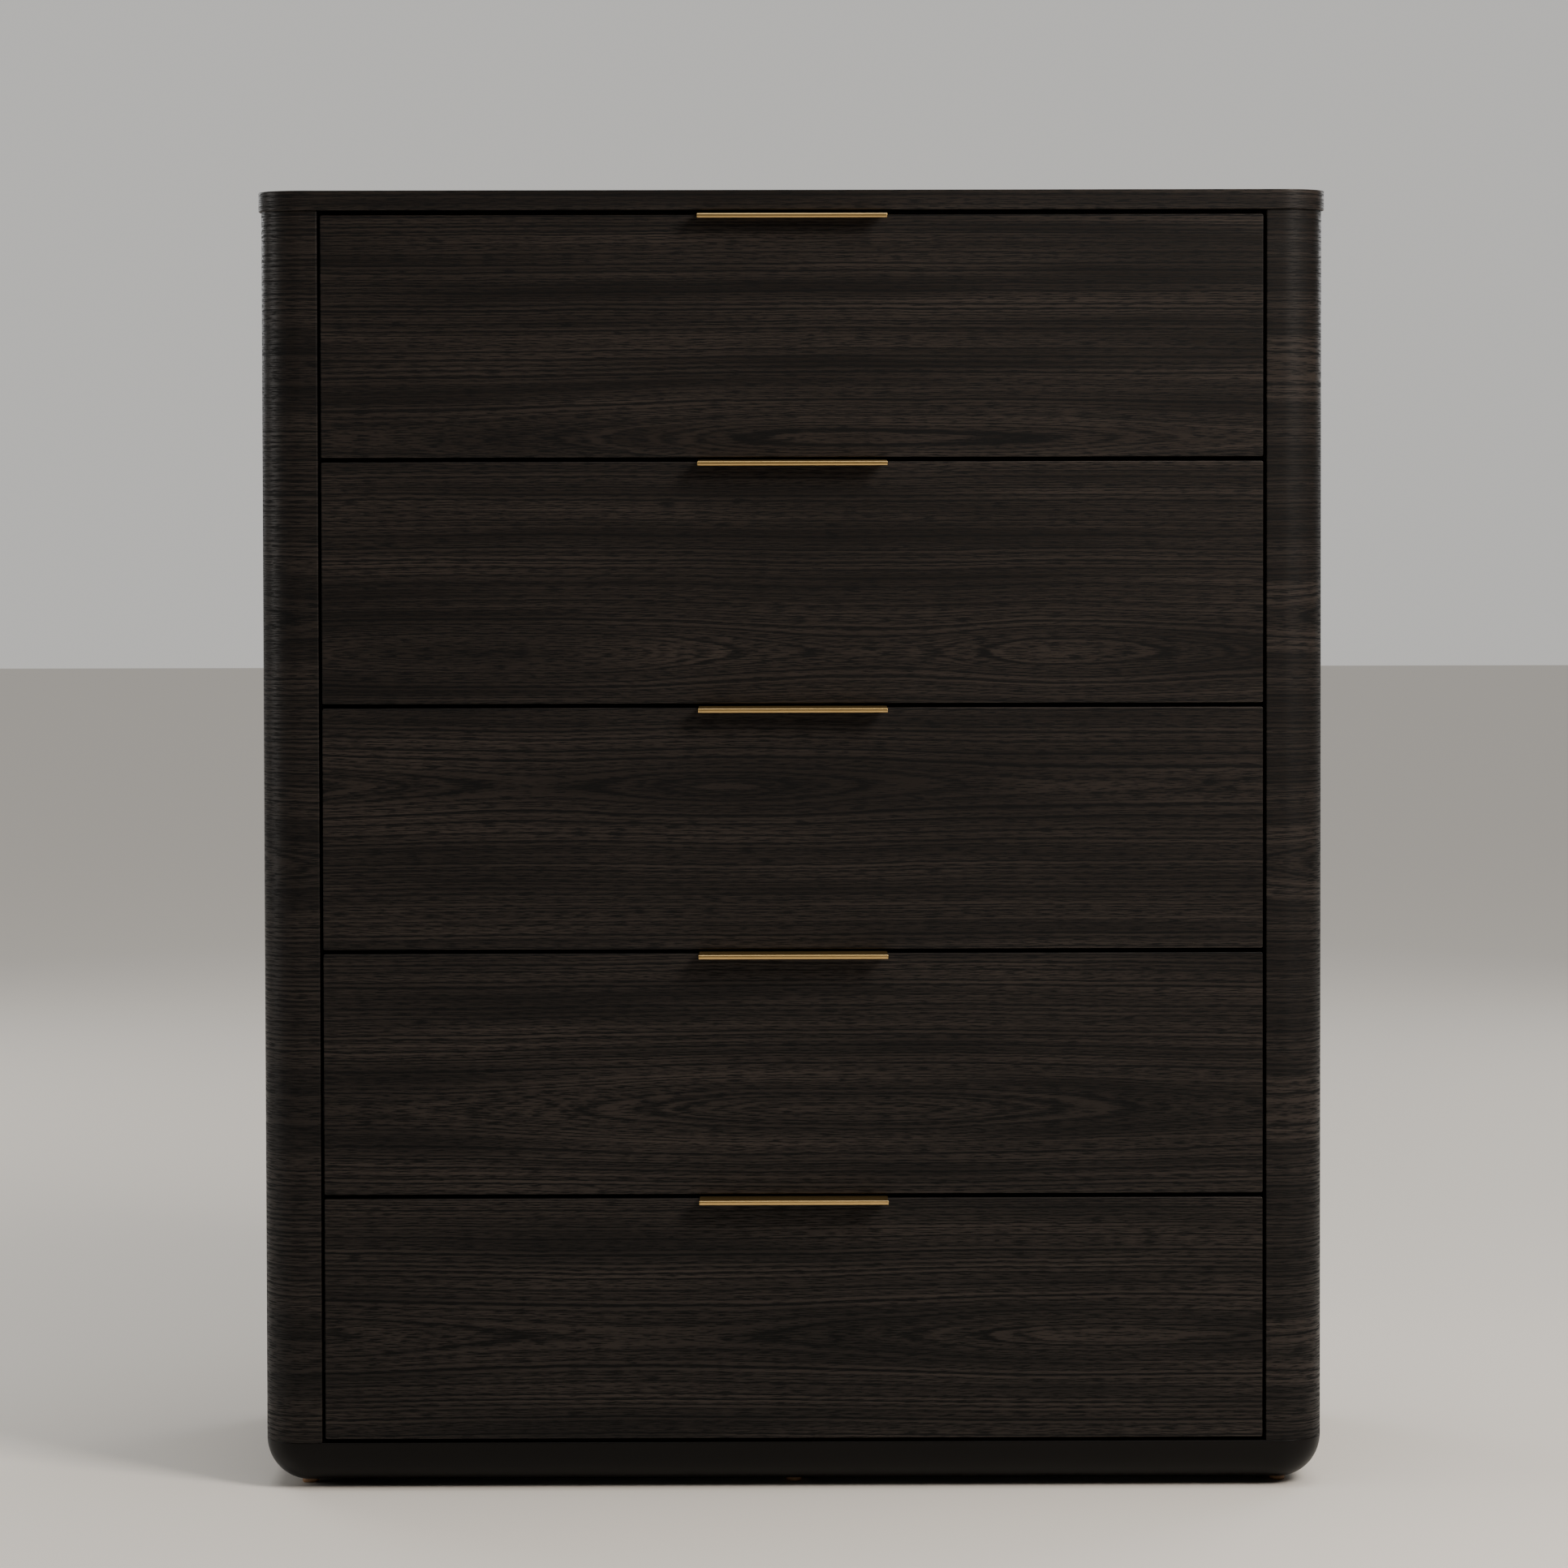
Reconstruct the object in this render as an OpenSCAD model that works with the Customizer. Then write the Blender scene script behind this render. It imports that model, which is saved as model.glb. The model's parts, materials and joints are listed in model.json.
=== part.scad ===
// Chest of five drawers with rounded front corners, a rounded plinth and brass edge pulls.
// Millimetres. +Z is up and the drawers open towards -Y. The origin is on the floor, under
// the middle of the whole object. Inside the modules y is 0 at the face of the drawer fronts.

/* [Case] */
// Width of the case over its side panels
case_w = 975; // [700:1:1200]
// Depth of the case from the face of the drawer fronts to the back
case_d = 400; // [330:1:600]
// Height from the floor to the top face
overall_h = 1193; // [990:1:1500]
// Thickness of the side panels, the bottom panel and the rails
board_t = 18; // [15:1:22]
// Thickness of the top panel
top_t = 18; // [16:1:30]
// How far the top panel stands out over the sides and the front
top_overhang = 2.5; // [0:0.5:15]
// Thickness of the back panel
back_t = 5; // [3:0.5:9]
// How far the back panel lies inside the back edges of the case
back_inset = 2; // [1.5:0.5:20]
// Width of the step in each side panel that takes the back panel
rabbet_w = 9; // [8:1:12]
// Depth of each cross rail, front to back
rail_w = 60; // [50:1:90]

/* [Corner posts] */
// Radius of the rounded front corners
corner_r = 40; // [30:1:60]
// Width of the flat strip between the rounding and the drawer fronts
post_flat = 14; // [6:0.5:30]

/* [Plinth and feet] */
// Height of the plinth
base_h = 40; // [33:1:80]
// Radius of the plinth's rounded lower edge
base_r = 40; // [10:1:80]
// Width of the plinth's top face, from outside to inside
base_w = 60; // [55:1:90]
// Height of the feet under the plinth
foot_h = 5; // [3:0.5:20]
// Diameter of a foot where it enters the plinth
foot_d = 18; // [14:1:24]
// Diameter of a foot on the floor
foot_tip_d = 15; // [10:1:24]
// How deep a foot is let into the plinth
foot_sink = 3; // [2:0.5:8]
// Distance of a foot's centre from the side of the case
foot_inset = 39; // [25:0.5:45]
// Distance of a foot's centre from the front or the back of the case
foot_setback = 50; // [30:1:50]

/* [Drawers] */
// Number of drawers
drawer_count = 5; // [3:1:6]
// Gap between one drawer front and the next
front_gap = 4; // [3:0.5:8]
// Gap between the top panel and the highest front
top_gap = 4.5; // [3:0.5:8]
// Gap between the plinth and the lowest front
bottom_gap = 3.5; // [3:0.5:8]
// Gap between a front and the post beside it
side_gap = 3; // [2:0.5:6]
// Thickness of a drawer front
front_t = 18; // [15:1:22]
// Thickness of a drawer's sides and back
side_t = 12; // [12:1:16]
// Thickness of a drawer's bottom
bottom_t = 4; // [3:0.5:6]
// Height of the box's lower edge over the front's lower edge
box_lift = 20; // [19:1:40]
// Distance of the box's upper edge below the front's upper edge
box_drop = 50; // [30:1:70]
// Height of the drawer's bottom over the box's lower edge
bottom_rise = 10; // [6:1:16]
// Depth of the grooves that hold the drawer's bottom
groove_d = 6; // [3:0.5:8]

/* [Slides] */
// Thickness of a closed slide
slide_t = 12.7; // [12.5:0.1:14]
// Height of a slide's outer member
slide_h = 45; // [35:1:53]
// Height of a slide's centre over the box's lower edge
slide_rise = 60; // [40:1:70]
// Thickness of the slides' sheet steel
slide_wall = 1.2; // [1:0.1:1.5]
// Length step in which slides are made
slide_step = 50; // [25:25:50]

/* [Pulls] */
// Width of a pull
pull_w = 173; // [100:1:400]
// How far a pull stands out in front of the drawer front
pull_reach = 20; // [14:0.5:40]
// Thickness of a pull's sheet
pull_t = 1.5; // [1:0.1:2.5]
// How far a pull's sheet falls from the drawer front to its lip
pull_fall = 1.3; // [0:0.1:1.5]
// How far the lip's top stands over the sheet behind it
lip_rise = 0.3; // [0.1:0.1:1]
// Height of a pull's front lip
lip_h = 4.2; // [3.5:0.1:10]
// Thickness of a pull's front lip, front to back
lip_t = 3.2; // [3:0.1:5]
// Radius of the lip's rounded edges
lip_r = 1.4; // [0.5:0.1:1.5]
// Height of the leg behind the drawer front that a pull is screwed on by
leg_h = 16; // [12:1:25]
// Distance of a pull's two screws from each other
pull_screw_gap = 128; // [64:32:160]

/* [Hidden] */
$fn = 64;

// Clearances
slide_back_gap = 10;
slide_front_gap = 3;
groove_fit = 0.2;
hardware_gap = 0.3;
screw_head_room = 2;
member_gap = 0.4;
outer_ball_d = 3.1;
inner_ball_d = 3.8;

// Hardware sizes
cam_d = 15;
cam_depth = 12.5;
drawer_cam_depth = 9.5;
cam_inset = 24;
bolt_d = 6;
bolt_grip = 10;
dowel_d = 8;
dowel_grip = 12;
screw_d = 4;
screw_head_d = 7.5;
screw_head_h = 2.4;
flat_head_h = 1.5;
batten_screw_grip = 6;
plinth_screw_l = 38;
top_screw_l = 30;
short_screw_l = 10;
back_screw_l = 16;
box_screw_l = 34;
nail_d = 3;
nail_l = 22;
nail_foot_cover = 2;
batten_margin = 7.5;

// Heights
case_z = foot_h + base_h;
top_z = overall_h - top_t;
front_pitch = (top_z - case_z - top_gap - bottom_gap + front_gap) / drawer_count;
front_h = front_pitch - front_gap;
box_h = front_h - box_lift - box_drop;
slide_z = box_lift + slide_rise;
batten_h = slide_h + 2 * batten_margin;

// Half widths, from the middle of the case
half_w = case_w / 2;
post_w = corner_r + post_flat;
opening_half = half_w - post_w;
inner_half = half_w - board_t;
front_half = opening_half - side_gap;
box_half = opening_half - slide_t;
box_inner_half = box_half - side_t;
batten_screw_l = inner_half - opening_half + batten_screw_grip;

// Depths, from the face of the drawer fronts
post_d = corner_r;
back_y = case_d - back_inset - back_t;
slide_y = front_t + slide_front_gap;
slide_room = back_y - slide_y - slide_back_gap;
slide_l = slide_step * floor(slide_room / slide_step);
box_end = front_t + slide_l;
front_y = (pull_reach - case_d) / 2;

// The plinth's rounding is no larger than its height or the corner allows
base_round = min(base_r, base_h, corner_r);

// Nested members of a slide: distance from the post's face, depth, and height
middle_at = slide_wall + screw_head_room;
outer_depth = slide_t - middle_at;
nested_depth = outer_depth - slide_wall - member_gap;
middle_h = slide_h - 2 * (slide_wall + outer_ball_d);
inner_h = middle_h - 2 * (slide_wall + inner_ball_d);

// Cross rails: the y of the front edge and the z of the underside
middle_drawer = ceil(drawer_count / 2);
middle_rail_room = front_pitch - box_h;
middle_rail_z = front_z(middle_drawer) + box_lift + box_h + (middle_rail_room - board_t) / 2;
rails = [
    [post_d, top_z - board_t],
    [back_y - rail_w, top_z - board_t],
    [post_d, middle_rail_z],
];

// Feet: x and y of their centres
corner_foot_x = half_w - foot_inset;
feet_at = [
    [-corner_foot_x, foot_setback],
    [0, foot_setback],
    [corner_foot_x, foot_setback],
    [-corner_foot_x, case_d - foot_setback],
    [corner_foot_x, case_d - foot_setback],
];

oak = "#2a2522";
plinth_paint = "#171310";
brass = "#b08d4f";
steel = "#b9bcc0";
black_steel = "#26272a";
inside_board = "#c9b393";
beech = "#d3b184";

CASE_NODES = [
    "top_panel", "side_panel_left", "side_panel_right", "corner_post_left", "corner_post_right",
    "plinth_front", "plinth_left", "plinth_right", "bottom_panel", "back_panel", "cross_rails",
    "runner_battens", "slide_outers", "case_fasteners", "feet",
];
DRAWER_PARTS = [
    "front", "side_left", "side_right", "back", "bottom", "pull", "slide_inners",
    "slide_middles", "fasteners",
];
NODES = concat(CASE_NODES, [for (n = [1 : drawer_count]) for (p = DRAWER_PARTS) drawer_node(n, p)]);
node = "all";

function drawer_node(n, part) = str("drawer", n, "_", part);
function shown(name) = node == "all" || node == name;

// Lower edge of a drawer's front, where drawer 1 is the highest
function front_z(n) = case_z + bottom_gap + (drawer_count - n) * front_pitch;

// ---- Placing ----

module in_case() {
    translate([0, front_y, 0]) children();
}

// A drawer's own frame has z = 0 at the lower edge of its front
module in_drawer(n) {
    translate([0, front_y, front_z(n)]) children();
}

module on_both_sides() {
    children();
    mirror([1, 0, 0]) children();
}

// A box from its lowest corner to its highest corner
module block(low, high) {
    translate(low) cube(high - low);
}

// ---- Shapes used more than once ----

// A rectangle from the origin with the corner at (0, 0) rounded
module round_corner_rect(w, h, r) {
    difference() {
        square([w, h]);
        difference() {
            square([r, r]);
            translate([r, r]) circle(r);
        }
    }
}

// A flat head screw with its head's face at z = 0 and its point towards +Z
module flat_screw(length) {
    cylinder(d = screw_d, h = length);
    cylinder(d1 = screw_head_d, d2 = screw_d, h = screw_head_h);
}

// A low round-headed screw that holds what ends at z = 0, with its point towards +Z
module round_screw(length) {
    cylinder(d = screw_d, h = length);
    translate([0, 0, -flat_head_h]) cylinder(d = screw_head_d, h = flat_head_h);
}

module dowel(grip_a, grip_b) {
    translate([0, 0, -grip_a]) cylinder(d = dowel_d, h = grip_a + grip_b);
}

// A cam disc that opens towards -Z, in a board with its middle at z = 0, and its bolt along +X
// through the board's end into the next board. The gap parts the bolt from the cam.
module cam_fitting(thickness, depth, gap) {
    translate([0, 0, -thickness / 2]) cylinder(d = cam_d, h = depth);
    difference() {
        rotate([0, 90, 0]) cylinder(d = bolt_d, h = cam_inset + bolt_grip);
        translate([0, 0, -thickness / 2]) cylinder(d = cam_d + 2 * gap, h = thickness);
    }
}

// A steel channel along +Y with its web at x = 0, open towards +X
module channel(depth, height) {
    difference() {
        block([0, slide_y, -height / 2], [depth, slide_y + slide_l, height / 2]);
        block([slide_wall, slide_y - 1, slide_wall - height / 2],
              [depth + 1, slide_y + slide_l + 1, height / 2 - slide_wall]);
    }
}

// ---- Fasteners of the case, one module for each joint they make ----

// Cams and dowels at the ends of the cross rails
module rail_fittings(gap = 0) {
    for (rail = rails) on_both_sides() translate([0, rail[0], rail[1] + board_t / 2]) {
        translate([inner_half - cam_inset, rail_w / 4, 0]) cam_fitting(board_t, cam_depth, gap);
        translate([inner_half, rail_w * 3 / 4, 0]) rotate([0, 90, 0]) dowel(2 * dowel_grip, dowel_grip);
    }
}

// Cams and dowels at the ends of the bottom panel
module bottom_fittings(gap = 0) {
    for (share = [0.25, 0.75]) on_both_sides()
        translate([0, post_d + share * (back_y - post_d), case_z + board_t / 2]) {
            translate([inner_half - cam_inset, 0, 0]) cam_fitting(board_t, cam_depth, gap);
            translate([inner_half, 2 * cam_d, 0]) rotate([0, 90, 0]) dowel(2 * dowel_grip, dowel_grip);
        }
}

// Screws up through the two top rails into the top panel
module top_screws() {
    for (rail = [rails[0], rails[1]]) for (x = [-0.6, 0, 0.6])
        translate([x * inner_half, rail[0] + rail_w / 2, rail[1]]) flat_screw(top_screw_l);
}

// Dowels from the posts into the side panels, the top panel and the plinth
module post_dowels() {
    on_both_sides() {
        for (share = [0.1, 0.37, 0.63, 0.9])
            translate([half_w - board_t / 2, post_d, case_z + share * (top_z - case_z)])
                rotate([-90, 0, 0]) dowel(dowel_grip, 1.5 * dowel_grip);
        for (z = [case_z, top_z])
            translate([half_w - post_w / 2, post_d / 2, z]) dowel(dowel_grip, dowel_grip);
    }
}

// Screws from each batten's face into the side panel
module batten_screws() {
    for (n = [1 : drawer_count]) on_both_sides() for (share = [0.2, 0.8])
        translate([opening_half, post_d + share * (back_y - post_d), front_z(n) + slide_z])
            rotate([0, 90, 0]) flat_screw(batten_screw_l);
}

// Screws from each slide's outer member into its batten
module slide_screws() {
    for (n = [1 : drawer_count]) on_both_sides() for (share = [0.12, 0.65])
        translate([opening_half - slide_wall, slide_y + share * slide_l, front_z(n) + slide_z])
            rotate([0, 90, 0]) round_screw(short_screw_l);
}

// Screws from the bottom panel down into the plinth
module plinth_screws() {
    on_both_sides() for (share = [0.25, 0.7])
        translate([share * inner_half, (post_d + base_w) / 2, case_z + board_t])
            rotate([180, 0, 0]) flat_screw(plinth_screw_l);
    on_both_sides() for (y = [base_w + dowel_grip + screw_d, (post_d + back_y) / 2])
        translate([inner_half - board_t, y, case_z + board_t])
            rotate([180, 0, 0]) flat_screw(plinth_screw_l);
}

// Dowels between the plinth's front piece and its side pieces
module plinth_dowels() {
    on_both_sides() translate([half_w - base_w / 2, base_w, case_z - base_h / 3])
        rotate([-90, 0, 0]) dowel(dowel_grip, dowel_grip);
}

// Screws that hold the back panel to the sides, the bottom panel and the back rail
module back_screws() {
    on_both_sides() for (share = [0.08, 0.25, 0.42, 0.59, 0.76, 0.93])
        translate([inner_half + rabbet_w / 2, back_y + back_t, case_z + share * (top_z - case_z)])
            rotate([90, 0, 0]) round_screw(back_screw_l);
    for (x = [-0.6, 0, 0.6]) for (z = [case_z + board_t / 2, top_z - board_t / 2])
        translate([x * inner_half, back_y + back_t, z]) rotate([90, 0, 0]) round_screw(back_screw_l);
}

module foot_nails() {
    for (at = feet_at) translate([at[0], at[1], nail_foot_cover]) cylinder(d = nail_d, h = nail_l);
}

// ---- Case ----

module top_panel() {
    half = half_w + top_overhang;
    color(oak) in_case() difference() {
        translate([0, 0, top_z]) linear_extrude(top_t) on_both_sides() translate([-half, -top_overhang])
            round_corner_rect(2 * half - (corner_r + top_overhang), case_d + top_overhang,
                              corner_r + top_overhang);
        top_screws();
        post_dowels();
    }
}

module side_panel_right() {
    color(oak) in_case() difference() {
        block([inner_half, post_d, case_z], [half_w, case_d, top_z]);
        block([inner_half - 1, back_y, case_z - 1], [inner_half + rabbet_w, case_d + 1, top_z + 1]);
        rail_fittings();
        bottom_fittings();
        post_dowels();
        batten_screws();
        back_screws();
    }
}

module side_panel_left() {
    mirror([1, 0, 0]) side_panel_right();
}

module corner_post_left() {
    color(oak) in_case() difference() {
        translate([-half_w, 0, case_z]) linear_extrude(top_z - case_z)
            round_corner_rect(post_w, post_d, corner_r);
        post_dowels();
    }
}

module corner_post_right() {
    mirror([1, 0, 0]) corner_post_left();
}

// The whole plinth as one outer form, from the front to the back
module plinth_form() {
    translate([0, 0, foot_h]) {
        on_both_sides() translate([half_w - corner_r, corner_r, 0]) rotate([0, 0, -90])
            rotate_extrude(angle = 90) translate([corner_r, 0]) mirror([1, 0])
                round_corner_rect(corner_r, base_h, base_round);
        translate([corner_r - half_w, 0, 0]) rotate([90, 0, 90]) linear_extrude(case_w - 2 * corner_r)
            round_corner_rect(base_w, base_h, base_round);
        on_both_sides() translate([-half_w, case_d, 0]) rotate([90, 0, 0])
            linear_extrude(case_d - corner_r) round_corner_rect(base_w, base_h, base_round);
    }
}

module plinth_front() {
    color(plinth_paint) in_case() difference() {
        intersection() {
            plinth_form();
            block([-case_w, -1, 0], [case_w, base_w, case_z + 1]);
        }
        feet_forms();
        foot_nails();
        plinth_dowels();
        plinth_screws();
        post_dowels();
    }
}

module plinth_left() {
    color(plinth_paint) in_case() difference() {
        translate([-half_w, case_d, foot_h]) rotate([90, 0, 0])
            linear_extrude(case_d - base_w) round_corner_rect(base_w, base_h, base_round);
        feet_forms();
        foot_nails();
        plinth_dowels();
        plinth_screws();
    }
}

module plinth_right() {
    mirror([1, 0, 0]) plinth_left();
}

module feet_forms() {
    for (at = feet_at) translate([at[0], at[1], 0])
        cylinder(d1 = foot_tip_d, d2 = foot_d, h = foot_h + foot_sink);
}

module feet() {
    color(beech) in_case() difference() {
        feet_forms();
        foot_nails();
    }
}

module bottom_panel() {
    color(inside_board) in_case() difference() {
        block([-inner_half, post_d, case_z], [inner_half, back_y, case_z + board_t]);
        bottom_fittings();
        plinth_screws();
        back_screws();
    }
}

module back_panel() {
    half = inner_half + rabbet_w;
    color(inside_board) in_case() difference() {
        block([-half, back_y, case_z], [half, back_y + back_t, top_z]);
        back_screws();
    }
}

module cross_rails() {
    color(inside_board) in_case() difference() {
        for (rail = rails)
            block([-inner_half, rail[0], rail[1]], [inner_half, rail[0] + rail_w, rail[1] + board_t]);
        rail_fittings();
        top_screws();
        back_screws();
    }
}

module runner_battens() {
    color(inside_board) in_case() difference() {
        for (n = [1 : drawer_count]) on_both_sides()
            translate([0, 0, front_z(n) + slide_z])
                block([opening_half, post_d, -batten_h / 2], [inner_half, back_y, batten_h / 2]);
        batten_screws();
        slide_screws();
    }
}

module slide_outers() {
    color(black_steel) in_case() difference() {
        for (n = [1 : drawer_count]) on_both_sides()
            translate([opening_half, 0, front_z(n) + slide_z]) mirror([1, 0, 0])
                channel(outer_depth, slide_h);
        slide_screws();
    }
}

module case_fasteners() {
    color(steel) in_case() {
        rail_fittings(hardware_gap);
        bottom_fittings(hardware_gap);
        top_screws();
        post_dowels();
        batten_screws();
        slide_screws();
        plinth_screws();
        plinth_dowels();
        back_screws();
        foot_nails();
    }
}

// ---- Fasteners of a drawer ----

// Cams in the box's sides, with bolts into the front
module front_fittings(gap = 0) {
    for (z = [box_lift + cam_inset, box_lift + box_h - cam_inset])
        translate([box_half - side_t / 2, front_t + cam_inset, z])
            rotate([-90, 0, -90]) cam_fitting(side_t, drawer_cam_depth, gap);
}

// Screws from the box's sides into the ends of its back
module box_screws() {
    for (z = [box_lift + cam_inset, box_lift + box_h - cam_inset])
        translate([box_half, box_end - side_t / 2, z]) rotate([0, -90, 0]) flat_screw(box_screw_l);
}

// Screws from a slide's inner member into the box's side
module inner_screws() {
    for (share = [0.12, 0.65])
        translate([box_half + slide_wall, slide_y + share * slide_l, slide_z])
            rotate([0, -90, 0]) round_screw(short_screw_l);
}

module pull_screws() {
    translate([pull_screw_gap / 2, front_t + pull_t, front_h - leg_h / 2])
        rotate([90, 0, 0]) round_screw(short_screw_l);
}

// ---- Drawer ----

// The space that the drawer's bottom takes in its grooves, or the bottom itself
module bottom_form(fit = 0) {
    block([-box_inner_half - groove_d - fit, front_t - groove_d - fit, box_lift + bottom_rise],
          [box_inner_half + groove_d + fit, box_end + fit, box_lift + bottom_rise + bottom_t + fit]);
}

module drawer_front() {
    color(oak) difference() {
        block([-front_half, 0, 0], [front_half, front_t, front_h]);
        bottom_form(groove_fit);
        on_both_sides() {
            front_fittings();
            pull_screws();
        }
    }
}

module drawer_side_right() {
    color(inside_board) difference() {
        block([box_inner_half, front_t, box_lift], [box_half, box_end, box_lift + box_h]);
        bottom_form(groove_fit);
        front_fittings();
        box_screws();
        inner_screws();
    }
}

module drawer_side_left() {
    mirror([1, 0, 0]) drawer_side_right();
}

module drawer_back() {
    color(inside_board) difference() {
        block([-box_inner_half, box_end - side_t, box_lift + bottom_rise + bottom_t + groove_fit],
              [box_inner_half, box_end, box_lift + box_h]);
        on_both_sides() box_screws();
    }
}

module drawer_bottom() {
    color(inside_board) bottom_form();
}

// The bent sheet of a pull and its lip, from the side: x is the depth, and y is the height over
// the upper edge of the drawer front
module pull_sheet() {
    sheet_front = lip_t / 2 - pull_reach;
    polygon([
        [sheet_front, pull_t - pull_fall], [0, pull_t], [front_t + pull_t, pull_t],
        [front_t + pull_t, -leg_h], [front_t, -leg_h], [front_t, 0], [0, 0],
        [sheet_front, -pull_fall],
    ]);
}

module pull_lip() {
    translate([-pull_reach, pull_t - pull_fall + lip_rise - lip_h]) {
        translate([lip_r, 0]) square([lip_t - 2 * lip_r, lip_h]);
        translate([0, lip_r]) square([lip_t, lip_h - 2 * lip_r]);
        for (x = [lip_r, lip_t - lip_r]) for (y = [lip_r, lip_h - lip_r])
            translate([x, y]) circle(lip_r);
    }
}

module drawer_pull() {
    color(brass) difference() {
        translate([-pull_w / 2, 0, front_h]) rotate([90, 0, 90]) {
            linear_extrude(pull_w) pull_sheet();
            linear_extrude(pull_w) pull_lip();
        }
        on_both_sides() pull_screws();
    }
}

module drawer_slide_inners() {
    color(black_steel) on_both_sides() difference() {
        translate([box_half, 0, slide_z]) channel(nested_depth, inner_h);
        inner_screws();
    }
}

module drawer_slide_middles() {
    color(black_steel) on_both_sides() translate([opening_half - middle_at, 0, slide_z])
        mirror([1, 0, 0]) channel(nested_depth, middle_h);
}

module drawer_fasteners() {
    color(steel) on_both_sides() {
        front_fittings(hardware_gap);
        box_screws();
        inner_screws();
        pull_screws();
    }
}

// ---- Nodes ----

if (shown("top_panel")) top_panel();
if (shown("side_panel_left")) side_panel_left();
if (shown("side_panel_right")) side_panel_right();
if (shown("corner_post_left")) corner_post_left();
if (shown("corner_post_right")) corner_post_right();
if (shown("plinth_front")) plinth_front();
if (shown("plinth_left")) plinth_left();
if (shown("plinth_right")) plinth_right();
if (shown("bottom_panel")) bottom_panel();
if (shown("back_panel")) back_panel();
if (shown("cross_rails")) cross_rails();
if (shown("runner_battens")) runner_battens();
if (shown("slide_outers")) slide_outers();
if (shown("case_fasteners")) case_fasteners();
if (shown("feet")) feet();
for (n = [1 : drawer_count]) in_drawer(n) {
    if (shown(drawer_node(n, "front"))) drawer_front();
    if (shown(drawer_node(n, "side_left"))) drawer_side_left();
    if (shown(drawer_node(n, "side_right"))) drawer_side_right();
    if (shown(drawer_node(n, "back"))) drawer_back();
    if (shown(drawer_node(n, "bottom"))) drawer_bottom();
    if (shown(drawer_node(n, "pull"))) drawer_pull();
    if (shown(drawer_node(n, "slide_inners"))) drawer_slide_inners();
    if (shown(drawer_node(n, "slide_middles"))) drawer_slide_middles();
    if (shown(drawer_node(n, "fasteners"))) drawer_fasteners();
}
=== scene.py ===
# %% [markdown]
# # A chest of five drawers
#
# The chest has already been designed as a CAD model: its sizes, joints and moving bodies are
# settled. This file gives it its looks. It loads the CAD model as a fixed frame, makes finer
# surfaces for the parts that show, gives every part the material it is made of, and sets up a
# small studio. Every new piece takes its place and size from the frame, so it fits without
# any moving about, and rides on the CAD body it belongs to, so it follows when a drawer opens.

import json

import bmesh
import bpy
import numpy as np
from mathutils import Matrix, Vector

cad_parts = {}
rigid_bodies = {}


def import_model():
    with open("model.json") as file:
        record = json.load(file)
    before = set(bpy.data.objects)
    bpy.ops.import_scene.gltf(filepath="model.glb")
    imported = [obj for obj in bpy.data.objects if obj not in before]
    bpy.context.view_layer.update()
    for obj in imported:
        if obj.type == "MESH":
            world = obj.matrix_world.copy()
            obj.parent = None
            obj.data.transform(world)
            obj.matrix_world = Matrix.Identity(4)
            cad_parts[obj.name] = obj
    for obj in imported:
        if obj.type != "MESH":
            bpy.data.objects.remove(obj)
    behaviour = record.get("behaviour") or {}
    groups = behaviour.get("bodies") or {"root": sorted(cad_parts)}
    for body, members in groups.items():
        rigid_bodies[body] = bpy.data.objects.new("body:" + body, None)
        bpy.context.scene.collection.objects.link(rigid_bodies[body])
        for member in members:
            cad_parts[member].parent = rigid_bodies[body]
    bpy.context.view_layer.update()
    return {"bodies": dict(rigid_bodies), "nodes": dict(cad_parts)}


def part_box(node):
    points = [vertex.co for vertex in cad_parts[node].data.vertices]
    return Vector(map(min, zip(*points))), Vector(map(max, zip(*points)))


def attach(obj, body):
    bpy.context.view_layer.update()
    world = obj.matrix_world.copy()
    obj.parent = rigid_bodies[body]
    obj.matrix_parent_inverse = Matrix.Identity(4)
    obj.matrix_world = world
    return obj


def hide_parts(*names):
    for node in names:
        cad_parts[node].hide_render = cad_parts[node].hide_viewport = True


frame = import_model()
mm = 0.001

# %% [markdown]
# ## The camera
#
# Furniture is usually shown through a long lens from far back, so that its upright lines stay
# parallel. The camera stands a little left of the middle, some 4.6 metres in front, and looks
# down by less than two degrees. The rest of the framing comes from shifting the lens down, as on
# a view camera, because tilting it further would make the uprights lean together. A Track To
# constraint could aim the camera, but three written angles also allow for its slight roll.

# %% Camera
FRONT_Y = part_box("drawer1_front")[0].y
CAMERA_X = -33.5 * mm
CAMERA_DISTANCE = 4.6265
CAMERA_HEIGHT = 0.9312
CAMERA_YAW = 0.317
CAMERA_DOWN = 1.70
CAMERA_ROLL = -0.118
LENS = 116.2
LENS_SHIFT = -0.10


def look_along(yaw, down, roll):
    """A camera's turn as a matrix: forward is turned yaw degrees from +Y towards +X and down
    degrees below the horizon, and roll then turns the view about that line."""
    yaw, down, roll = np.radians([yaw, down, roll])
    forward = np.array([np.sin(yaw) * np.cos(down), np.cos(yaw) * np.cos(down), -np.sin(down)])
    level = np.array([np.cos(yaw), -np.sin(yaw), 0.0])
    upright = np.cross(level, forward)
    right = np.cos(roll) * level + np.sin(roll) * upright
    return np.stack([right, np.cross(right, forward), -forward], axis=1)


lens = bpy.data.cameras.new("studio_camera")
lens.lens = LENS
lens.shift_y = LENS_SHIFT
camera = bpy.data.objects.new("studio_camera", lens)
bpy.context.scene.collection.objects.link(camera)
turn = np.eye(4)
turn[:3, :3] = look_along(CAMERA_YAW, CAMERA_DOWN, CAMERA_ROLL)
turn[:3, 3] = [CAMERA_X, FRONT_Y - CAMERA_DISTANCE, CAMERA_HEIGHT]
camera.matrix_world = Matrix(turn)
bpy.context.scene.camera = camera
print("camera at", turn[:3, 3].round(3))

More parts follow.
